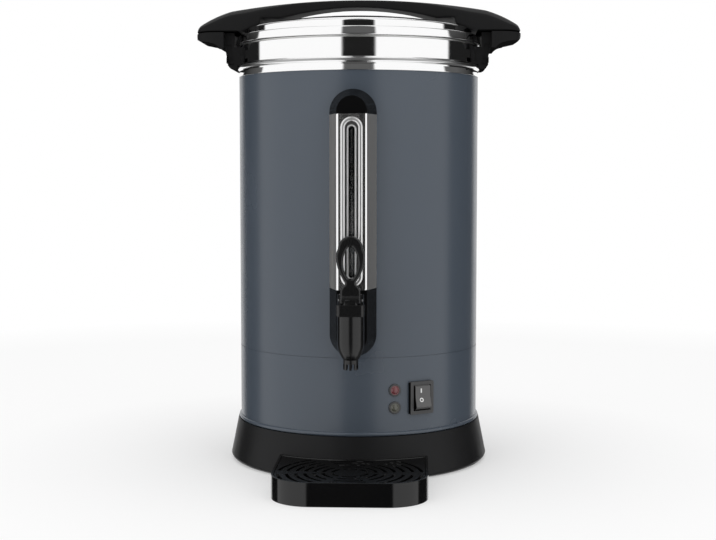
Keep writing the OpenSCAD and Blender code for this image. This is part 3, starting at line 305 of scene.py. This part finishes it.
def remoulded(node, voxel, rounds, grow=0.0, keptBelow=-math.inf, drawn=0.0):  # copy with edges run soft
    mesh = bpy.data.meshes.new(node)
    bm = mergedCopy(node)
    bm.to_mesh(mesh)
    bm.free()
    holder = placed(node, mesh)
    remesh = holder.modifiers.new("remesh", "REMESH")
    remesh.mode = "VOXEL"
    remesh.voxel_size = voxel
    bpy.context.view_layer.update()
    whole = bpy.data.meshes.new_from_object(holder.evaluated_get(bpy.context.evaluated_depsgraph_get()))
    bpy.data.objects.remove(holder)
    bpy.data.meshes.remove(mesh)
    bm = bmesh.new()
    bm.from_mesh(whole)
    bpy.data.meshes.remove(whole)
    chosen = [v for v in bm.verts if v.co.z >= keptBelow]
    for _ in range(rounds):
        bmesh.ops.smooth_vert(bm, verts=chosen, factor=0.5, use_axis_x=True, use_axis_y=True, use_axis_z=True)
    bmesh.ops.recalc_face_normals(bm, faces=bm.faces)
    bm.normal_update()
    for v in bm.verts:  # what the smoothing took off goes back on, and the kept end is drawn in to stay free
        v.co += v.normal * (grow if v.co.z >= keptBelow else -drawn)
    return addPiece(node + ".soft", bm, bodyOf[node], slotOf[node], (node,), meshSet["softSmooth"])


def spun(corners, steps, closed=True):  # corners are (radius, height, setback of the rounding)
    bm = bmesh.new()
    verts = [bm.verts.new((r, 0.0, z)) for r, z, _ in corners]
    for one, two in zip(verts, verts[1:] + verts[:1] if closed else verts[1:]):
        bm.edges.new((one, two))
    for setback in sorted({row[2] for row in corners if row[2] > 0}):
        chosen = [v for v, row in zip(verts, corners) if row[2] == setback]
        bmesh.ops.bevel(bm, geom=chosen, offset=setback, segments=meshSet["cornerSteps"], profile=0.5,
                        affect="VERTICES", material=-1)
    bmesh.ops.spin(bm, geom=list(bm.verts) + list(bm.edges), cent=(0, 0, 0), axis=(0, 0, 1),
                   angle=math.tau, steps=steps, use_merge=True)
    bmesh.ops.remove_doubles(bm, verts=bm.verts, dist=meshSet["spunDouble"])
    bmesh.ops.recalc_face_normals(bm, faces=bm.faces)
    return bm


def spunOutwards(corners, steps, place, closed=True):  # turned about the -Y of the frame it is put in
    bm = spun(corners, steps, closed)
    bmesh.ops.rotate(bm, verts=bm.verts, matrix=Matrix.Rotation(math.pi / 2, 3, "X"))
    bmesh.ops.transform(bm, matrix=place, verts=bm.verts)
    return bm


def facing(angle, distance=0.0, height=0.0, lean=0.0):  # frame on the urn's side, its -Y pointing outwards
    return (Matrix.Rotation(math.radians(angle), 4, "Z") @ Matrix.Translation((0, -distance, height))
            @ Matrix.Rotation(math.radians(-lean), 4, "X"))


def cube(size):
    bm = bmesh.new()
    bmesh.ops.create_cube(bm, size=1.0)
    bmesh.ops.scale(bm, vec=size, verts=bm.verts)
    return bm


def grownVerts(bm, faces, vec):  # pulls the faces out along vec and gives back their new points
    grown = bmesh.ops.extrude_face_region(bm, geom=faces)["geom"]
    top = [g for g in grown if isinstance(g, bmesh.types.BMVert)]
    bmesh.ops.translate(bm, vec=vec, verts=top)
    bmesh.ops.recalc_face_normals(bm, faces=bm.faces)
    return set(top)


def slotLoop(bm, width, height):  # edges of an upright slot outline in the XZ plane
    segments = slotSet["segments"]
    made = bmesh.ops.create_circle(bm, segments=segments, radius=width / 2)["verts"]
    bmesh.ops.rotate(bm, verts=made, matrix=Matrix.Rotation(math.pi / segments, 3, "Z"))
    for v in made:
        v.co = (v.co.x, 0.0, v.co.y + math.copysign((height - width) / 2, v.co.y))
    inside = set(made)
    return list({e for v in made for e in v.link_edges if e.other_vert(v) in inside})


collarSet = {"low": 383.5, "high": 414.0, "inner": 118.2, "band": 119.4, "skirt": 121.1, "groove": 389.4,
             "grooveOut": 0.1, "beadMid": 119.2, "bead": 393.0, "beadR": 2.6,
             "beadAngles": range(-78, 79, 12), "beadTop": 0.4, "hem": (392.2, 394.3)}
lidSet = {"brimOut": 123.0, "lean": 1.3, "brimLow": 415.5, "brimHigh": 423.7, "brimRound": 1.2,
          "under": (1.2, 0.6), "side": 113.0, "edge": 431.2, "shoulder": 2.5, "top": 443.2, "steps": 24}
seamSet = {"z": 116.0, "half": 0.5, "inner": 118.9, "outer": 119.5}


def makeCollar():  # lip, bead and band in one wall, with a darker steel along the bead as painted shade
    c = collarSet
    turns = [math.radians(a) for a in c["beadAngles"]]
    roll = [(c["beadMid"] + c["beadR"] * math.cos(a), c["bead"] + c["beadR"] * math.sin(a), 0) for a in turns]
    collar = addPiece("brightCollar", spun([
        (c["inner"], c["low"], 0), (c["skirt"], c["low"], 0.5),
        (c["band"] + c["grooveOut"], c["groove"], 0.3), *roll,
        (c["band"], c["bead"] + c["beadR"] + c["beadTop"], 0.2), (c["band"], c["high"], 0.4),
        (c["inner"], c["high"], 0.4),
    ], meshSet["ringSteps"]), "urn", "polished_steel", ("collar",), extra=("hem_shade_steel",))
    # the faces in the hem band take the darker steel, painted shade
    for f in collar.data.polygons:
        if c["hem"][0] < f.center.z / mm < c["hem"][1]:
            f.material_index = 1


def makeLid():  # rolled brim, upright side, and a crown that is part of a ball
    c = lidSet
    rise = c["top"] - c["edge"]
    ball = (c["side"] ** 2 + rise ** 2) / (2 * rise)
    crown = []
    for i in range(1, c["steps"] + 1):
        r = (c["side"] - c["shoulder"]) * (1 - i / c["steps"])
        crown.append((r, c["top"] - ball + math.sqrt(ball * ball - r * r), 0))
    addPiece("lidCrown", spun([
        (c["side"] - c["under"][0], c["brimLow"] + c["under"][1], 0),
        (c["brimOut"], c["brimLow"], c["brimRound"]),
        (c["brimOut"] - c["lean"], c["brimHigh"], c["brimRound"]), (c["side"], c["brimHigh"], 0.9),
        (c["side"], c["edge"] - 0.2, 1.6),
        (c["side"] - c["shoulder"], c["edge"] + 0.25, 0.5), *crown,
    ], meshSet["ringSteps"], closed=False), "lid", "polished_steel", ("lid_cover",))


def makeSeam():  # paint bridging the gap between the two shells, a shade below them
    c = seamSet
    low, high = c["z"] - c["half"], c["z"] + c["half"]
    addPiece("seamLine", spun([(c["inner"], low, 0), (c["outer"], low, 0), (c["outer"], high, 0),
                               (c["inner"], high, 0)], meshSet["ringSteps"]), "urn", "slate_paint")


makeCollar()
makeLid()
makeSeam()
print("rings made")

columnSet = {"front": -146.0, "capLow": 342.3, "coverLow": 182.0, "near": 0.02, "middle": 7.0, "sharp": 20.0,
             "bevel": 1.7, "bevelSteps": 6, "widen": 1.025, "capStretch": 1.04, "facet": 0.4, "smooth": 30.0}
bezelSet = {"front": columnSet["front"], "outer": (20.3, 154.7), "inner": (12.1, 146.5), "depth": 2.4,
            "edge": 1.5}
windowSet = {"front": -145.2, "outer": (8.9, 140.8), "inner": (5.7, 137.6), "depth": 0.9, "edge": 0.35}
slotSet = {"mid": 262.15, "segments": 48, "rimAngle": 0.8, "edgeSteps": 4}


def frontEdge(e):  # edges of the flat front, without those near its middle and the joints between the pieces
    c = columnSet
    if any(abs(v.co.y - c["front"]) > c["near"] for v in e.verts):
        return False
    if abs(sum(v.co.x for v in e.verts) / 2) <= c["middle"]:
        return False
    return not any(all(abs(v.co.z - z) < c["near"] for v in e.verts) for z in (c["capLow"], c["coverLow"]))


def makeColumnPiece(node, extra=()):  # with two more finishes the folds are polished and the sides satin, their darker, warmer tint a painted reflection
    c = columnSet
    bm = cadCopy(node)
    roundEdges(bm, sharpEdges(bm, c["sharp"], frontEdge), c["bevel"], c["bevelSteps"], 1 if extra else -1)
    bmesh.ops.scale(bm, vec=(c["widen"], 1, 1), verts=bm.verts)
    if node == "gauge_cap":
        bmesh.ops.scale(bm, vec=(1, 1, c["capStretch"]), verts=bm.verts,
                        space=Matrix.Translation((0, 0, -c["capLow"])))
    for f in bm.faces:
        if extra and f.material_index == 0 and abs(f.normal.x) > c["facet"]:
            f.material_index = 2
    addPiece(node + ".soft", bm, "urn", slotOf[node], (node,), c["smooth"], extra)


def makeSlotRing(name, c, replaced=()):  # bright ring between two slot outlines, standing out from its front
    bm = bmesh.new()
    edges = slotLoop(bm, *c["outer"]) + slotLoop(bm, *c["inner"])
    top = grownVerts(bm, bmesh.ops.bridge_loops(bm, edges=edges)["faces"], (0, -c["depth"], 0))
    rim = [e for e in bm.edges if all(v in top for v in e.verts)
           and e.calc_face_angle(0.0) > slotSet["rimAngle"]]
    roundEdges(bm, rim, c["edge"], slotSet["edgeSteps"])
    bmesh.ops.translate(bm, vec=(0, c["front"], slotSet["mid"]), verts=bm.verts)
    addPiece(name, bm, "urn", "bright_bezel", replaced)


makeColumnPiece("gauge_cap")
makeColumnPiece("gauge_cover", ("polished_steel", "satin_facet_reflection"))
makeColumnPiece("lower_housing")
makeSlotRing("bezelRim", bezelSet, ("gauge_bezel",))
makeSlotRing("windowOutline", windowSet)
print("column made")

bonnetSet = {"low": 160.5, "high": 171.0, "wide": 25.6, "front": -174.4, "back": -163.0, "corner": 3.5,
             "cornerSteps": 6, "sharp": 40.0, "edge": 0.5}
leverSet = {"voxel": 0.45, "rounds": 8, "grow": 0.5}


def makeBonnet():  # square front of the bonnet, under the lever
    c = bonnetSet
    bm = cube((c["wide"], c["back"] - c["front"], c["high"] - c["low"]))
    corners = [e for e in bm.edges if e.verts[0].co.z * e.verts[1].co.z < 0 and e.verts[0].co.y < 0]
    roundEdges(bm, corners, c["corner"], c["cornerSteps"])
    roundEdges(bm, sharpEdges(bm, c["sharp"]), c["edge"])
    bmesh.ops.translate(bm, vec=(0, (c["front"] + c["back"]) / 2, (c["high"] + c["low"]) / 2), verts=bm.verts)
    addPiece("bonnetFront", bm, "urn", "tap_black")


remoulded("tap_lever", **leverSet)
makeBonnet()
print("tap made")

softenedSet = {"tap_body": 0.4, "tap_bonnet": 0.5, "inlet_housing": 0.5}
skirtSet = {"notch": (63.0, 1.2), "notchTop": (1.0, 2.2), "notchLift": 2.6, "turnIn": 1.3, "below": 5.0,
            "outside": 121.0, "edge": 0.7}
handleSet = {"edge": 1.0, "trim": 2.4, "from": 123.0, "foot": 1.4, "low": 391.0, "full": (394.0, 402.0),
             "high": 405.5, "legOut": 129.1, "tip": 0.9, "tipFrom": 150.0}
barSet = {"voxel": 1.1, "rounds": 7, "keptBelow": 427.8, "drawn": 0.65}
underSet = {"from": 118.0, "tilt": -0.3}
traySet = {"widen": 1.02, "edges": {"drip_pan": 1.0, "drip_grate": 0.4}}


def turnSkirtIn(bm):  # the base turns in under its widest line, and its notches reach higher
    c = skirtSet
    for v in bm.verts:
        out = math.hypot(v.co.x, v.co.y)
        if v.co.z < c["below"] and out > c["outside"]:
            share = (out - c["turnIn"] * (1 - v.co.z / c["below"])) / out
            v.co.x *= share
            v.co.y *= share
        aside = abs(abs(math.degrees(math.atan2(v.co.x, -v.co.y))) - c["notch"][0])
        if out > c["outside"] and aside < c["notch"][1] and c["notchTop"][0] < v.co.z < c["notchTop"][1]:
            v.co.z += c["notchLift"]


def trimHandle(bm):  # the leg is drawn in towards its foot, and the tip of the grip a little
    c = handleSet
    for v in bm.verts:
        foot = c["foot"] + (c["trim"] - c["foot"]) * (v.co.z - c["low"]) / (c["full"][0] - c["low"])
        top = c["trim"] * (c["high"] - v.co.z) / (c["high"] - c["full"][1])
        if abs(v.co.x) > c["from"]:
            v.co.x -= math.copysign(max(0.0, min(foot, c["trim"], top)), v.co.x)
            if c["full"][0] < v.co.z < c["high"]:
                v.co.x = math.copysign(min(abs(v.co.x), c["legOut"]), v.co.x)
        if abs(v.co.x) > c["tipFrom"]:
            v.co.x -= math.copysign(c["tip"], v.co.x)


def shadeUnder(piece):  # the undersides of the grips get a darker, rough finish without sheen: painted shade
    piece.data.materials.append(finishes["handle_under_shade"])
    for f in piece.data.polygons:
        if abs(f.center.x) / mm > underSet["from"] and f.normal.z < underSet["tilt"]:
            f.material_index = 1


for node, width in softenedSet.items():
    softened(node, width)
softened("base_skirt", skirtSet["edge"], "baseSkirt", turnSkirtIn)
for node in ("left_handle", "right_handle"):
    shadeUnder(softened(node, handleSet["edge"], change=trimHandle))
for node, width in traySet["edges"].items():
    softened(node, width, widen=traySet["widen"])
shadeUnder(remoulded("lid_bar", **barSet))
print("mouldings softened")

switchSet = {"angle": 31.7, "axle": 117.0, "z": 76.6, "lean": 8.0, "frameEdge": 0.5, "side": 0.9}
rockerSet = {"wide": 16.6, "valley": -8.1, "ridge": (-9.3, 9.7), "endR": 13.45, "endZ": 11.6, "endSteps": 4,
             "endBack": -2.5, "back": (2.5, 8.0), "sharp": 25.0, "edge": 0.45}
markSet = {"aside": -2.0, "steps": 48, "on": (1.3, 4.2, 5.9), "onThick": 0.3, "onEdge": 0.12,
           "off": (2.05, 1.15, -2.9), "offBack": -0.1, "offFront": 0.15, "offEdge": 0.05}
lampSet = {"angle": 18.9, "face": 121.6, "lensBack": 119.8, "ringBack": 119.7, "dome": 122.75, "lensR": 4.3,
           "ringR": 5.95, "gap": 0.05, "steps": 64, "curve": ((0.0, 0.0), (1.2, 0.1), (2.2, 0.4), (3.0, 0.9)),
           "flange": ((3.3, 0.1), (3.6, 0.35), (4.3, 0.3))}
lamps = {"red": (84.9, ("lamp_bezels",)), "green": (68.3, ())}  # height, and what the ring takes the place of


def paintShadeOnSides(bm, axis):  # the faces square to the axis get the second finish, a near-black painted shade
    for f in bm.faces:
        f.material_index = 1 if abs(f.normal.dot(axis)) > switchSet["side"] else 0


def switchPlace():
    c = switchSet
    return facing(c["angle"], c["axle"], c["z"], c["lean"])


def makeFrame():  # textured face, with painted shade on its sides
    bm = cadCopy("switch_frame")
    roundEdges(bm, sharpEdges(bm), switchSet["frameEdge"])
    paintShadeOnSides(bm, facing(switchSet["angle"]).to_3x3() @ Vector((1, 0, 0)))
    addPiece("switchFrame", bm, "urn", "switch_black", ("switch_frame",), extra=("painted_shade_black",))


def makeRocker():  # two flat pads that meet in a shallow valley, with rounded ends
    c = rockerSet
    y, z = c["ridge"]
    first, last = (math.asin(height / c["endR"]) for height in (z, c["endZ"]))
    turns = [first + (last - first) * i / c["endSteps"] for i in range(1, c["endSteps"] + 1)]
    rim = [(-math.cos(a) * c["endR"], math.sin(a) * c["endR"]) for a in turns]
    half = [(y, z), *rim, (c["endBack"], c["endZ"]), c["back"]]
    outline = [(c["valley"], 0.0), *half, *[(one, -two) for one, two in reversed(half)]]
    bm = bmesh.new()
    face = bm.faces.new([bm.verts.new((-c["wide"] / 2, one, two)) for one, two in outline])
    grownVerts(bm, [face], (c["wide"], 0, 0))
    roundEdges(bm, sharpEdges(bm, c["sharp"]), c["edge"])
    # the rocker's sides take the painted shade
    paintShadeOnSides(bm, Vector((1, 0, 0)))
    bmesh.ops.transform(bm, matrix=switchPlace(), verts=bm.verts)
    addPiece("rockerPads", bm, "rocker", "rocker_black", ("switch_rocker",), extra=("painted_shade_black",))


def padPlace(height):  # frame on one of the rocker's pads, the upper one for a height above zero
    c = rockerSet
    slope = (c["ridge"][0] - c["valley"]) / c["ridge"][1]
    return (switchPlace() @ Matrix.Translation((markSet["aside"], c["valley"] + slope * abs(height), height))
            @ Matrix.Rotation(math.copysign(math.atan(-slope), height), 4, "X"))


def makeMarks():  # the plain on and off signs of the rocker
    c = markSet
    wide, tall, high = c["on"]
    bm = cube((wide, c["onThick"], tall))
    roundEdges(bm, list(bm.edges), c["onEdge"], 2)
    bmesh.ops.transform(bm, matrix=padPlace(high), verts=bm.verts)
    addPiece("onMark", bm, "rocker", "mark_white")
    outer, inner, high = c["off"]
    addPiece("offMark", spunOutwards([
        (inner, c["offBack"], 0), (inner, c["offFront"], c["offEdge"]), (outer, c["offFront"], c["offEdge"]),
        (outer, c["offBack"], 0),
    ], c["steps"], padPlace(high)), "rocker", "mark_white")


def makeLamp(name, height, replaced):  # domed lens in a narrow moulded ring
    c = lampSet
    place = facing(c["angle"], height=height)
    addPiece(name + "Lens", spunOutwards([
        *[(r, c["dome"] - drop, 0) for r, drop in c["curve"]],
        *[(r, c["face"] - drop, 0) for r, drop in c["flange"]],
        (c["lensR"], c["lensBack"], 0), (0.0, c["lensBack"], 0),
    ], c["steps"], place, False), "urn", name + "_lens", (name + "_lamp",))
    addPiece(name + "Ring", spunOutwards([
        (c["lensR"] + c["gap"], c["ringBack"], 0), (c["lensR"] + c["gap"], c["face"] - 0.1, 0.3),
        (c["ringR"], c["face"] - 0.3, 0.5), (c["ringR"], c["ringBack"], 0),
    ], c["steps"], place), "urn", "switch_black", replaced)


makeFrame()
makeRocker()
makeMarks()
for name, (height, replaced) in lamps.items():
    makeLamp(name, height, replaced)
print("controls made")

floorSet = {"size": 12.0, "under": (0.14, 0.4, 0.34, 0.76), "away": (0.0, 1.25, 0.0, 1.0)}
worldSet = {"skyLevel": 0.75, "turn": 2.5, "lift": 0.1, "liftFrom": 0.2, "liftTo": 0.35, "dark": 0.012,
            "screens": [(-148, -146, -110, -108), (-16.4, -15, 15, 16.4), (93, 96, 144, 147)]}  # in degrees
softboxes = {  # place, aim, size and power
    "overhead": ((0.0, -0.3, 2.2), (0.0, 0.0, 0.2), (2.2, 2.2), 14.0),
    "frontLeft": ((-1.6, -1.8, 1.2), (0.0, 0.0, 0.22), (1.4, 1.6), 9.0),
    "frontRight": ((1.6, -1.8, 1.2), (0.0, 0.0, 0.22), (1.4, 1.6), 7.0),
}
cameraSet = {"sensor": 36.0, "lens": 66.3, "far": 50.0, "place": (0.0586, -1.3420, 0.2903), "tilt": 85.714,
             "turn": 2.526}


def makeFloor():  # pale paper that runs out into white
    c = floorSet
    bm = bmesh.new()
    bmesh.ops.create_grid(bm, x_segments=4, y_segments=4, size=c["size"])
    mesh = bpy.data.meshes.new("floor")
    bm.to_mesh(mesh)
    bm.free()
    floor = placed("floor", mesh)
    mat = mouldedFinish("floorPaper", (0.86, 0.86, 0.86), 0.9, scale=30.0, depth=0.0, tint=0.004)
    tree = mat.node_tree
    away = tree.nodes.new("ShaderNodeVectorMath")
    away.operation = "LENGTH"
    tree.links.new(tree.nodes["Texture Coordinate"].outputs["Object"], away.inputs[0])
    path = tree.nodes.new("ShaderNodeLightPath")
    fade = mathStep(tree, "MAXIMUM", rangeStep(tree, away.outputs["Value"], *c["under"]),
                    rangeStep(tree, away.outputs["Value"], *c["away"]))
    glow = tree.nodes.new("ShaderNodeEmission")
    mix = tree.nodes.new("ShaderNodeMixShader")
    tree.links.new(mathStep(tree, "MULTIPLY", fade, path.outputs["Is Camera Ray"]), mix.inputs["Fac"])
    tree.links.new(tree.nodes["Principled BSDF"].outputs[0], mix.inputs[1])
    tree.links.new(glow.outputs[0], mix.inputs[2])
    tree.links.new(mix.outputs[0], tree.nodes["Material Output"].inputs["Surface"])
    mesh.materials.append(mat)
    floor.visible_glossy = False


def makeWorld():  # white studio, with dark screens that the bright metal shows as upright bands
    c = worldSet
    world = bpy.data.worlds.new("studio")
    bpy.context.scene.world = world
    world.use_nodes = True
    tree = world.node_tree
    tree.nodes.clear()
    out = tree.nodes.new("ShaderNodeOutputWorld")
    sky = tree.nodes.new("ShaderNodeBackground")
    sky.inputs["Color"].default_value = (1.0, 1.0, 1.0, 1.0)
    sky.inputs["Strength"].default_value = c["skyLevel"]
    seen = tree.nodes.new("ShaderNodeBackground")
    path = tree.nodes.new("ShaderNodeLightPath")
    coords = tree.nodes.new("ShaderNodeTexCoord")
    split = tree.nodes.new("ShaderNodeSeparateXYZ")
    tree.links.new(coords.outputs["Generated"], split.inputs[0])
    backwards = mathStep(tree, "MULTIPLY", split.outputs["Y"], -1.0)
    angle = mathStep(tree, "ARCTAN2", split.outputs["X"], backwards)
    place = mathStep(tree, "MULTIPLY_ADD", angle, 1 / math.tau, 0.5 - c["turn"] / 360)
    stops = [(-180, 1.0)]
    for fadeIn, first, last, fadeOut in c["screens"]:
        stops += [(fadeIn, 1.0), (first, c["dark"]), (last, c["dark"]), (fadeOut, 1.0)]
    stops.append((180, 1.0))
    bands = tree.nodes.new("ShaderNodeValToRGB")
    ramp = bands.color_ramp
    while len(ramp.elements) < len(stops):
        ramp.elements.new(0.5)
    for stop, (degrees, level) in zip(ramp.elements, stops):
        stop.position = degrees / 360 + 0.5
        stop.color = (level, level, level, 1.0)
    tree.links.new(place, bands.inputs["Fac"])
    tall = mathStep(tree, "ABSOLUTE", split.outputs["Z"])
    lift = rangeStep(tree, tall, c["liftFrom"], c["liftTo"], 0.0, c["lift"])
    level = mathStep(tree, "MAXIMUM", bands.outputs["Color"], lift)
    white = tree.nodes.new("ShaderNodeMix")
    white.data_type = "RGBA"
    white.inputs["A"].default_value = (1.0, 1.0, 1.0, 1.0)
    tree.links.new(path.outputs["Is Glossy Ray"], white.inputs["Factor"])
    tree.links.new(level, white.inputs["B"])
    tree.links.new(white.outputs["Result"], seen.inputs["Color"])
    anySeen = mathStep(tree, "MAXIMUM", path.outputs["Is Camera Ray"], path.outputs["Is Glossy Ray"])
    withGlass = mathStep(tree, "MAXIMUM", anySeen, path.outputs["Is Transmission Ray"])
    mix = tree.nodes.new("ShaderNodeMixShader")
    tree.links.new(withGlass, mix.inputs["Fac"])
    tree.links.new(sky.outputs[0], mix.inputs[1])
    tree.links.new(seen.outputs[0], mix.inputs[2])
    tree.links.new(mix.outputs[0], out.inputs["Surface"])


def makeSoftbox(name, place, aim, size, power):
    light = bpy.data.lights.new(name, "AREA")
    light.shape = "RECTANGLE"
    light.size, light.size_y = size
    light.energy = power
    lamp = placed(name, light)
    lamp.location = place
    lamp.rotation_euler = (Vector(aim) - Vector(place)).to_track_quat("-Z", "Y").to_euler()
    lamp.visible_glossy = False


def makeCamera():
    c = cameraSet
    data = bpy.data.cameras.new("camera")
    data.sensor_width = c["sensor"]
    data.lens = c["lens"]
    data.clip_end = c["far"]
    camera = placed("camera", data)
    camera.location = c["place"]
    camera.rotation_euler = (math.radians(c["tilt"]), 0.0, math.radians(c["turn"]))
    bpy.context.scene.camera = camera


makeFloor()
makeWorld()
for name, row in softboxes.items():
    makeSoftbox(name, *row)
makeCamera()
bpy.context.scene.view_settings.view_transform = "Standard"
print("stage set")
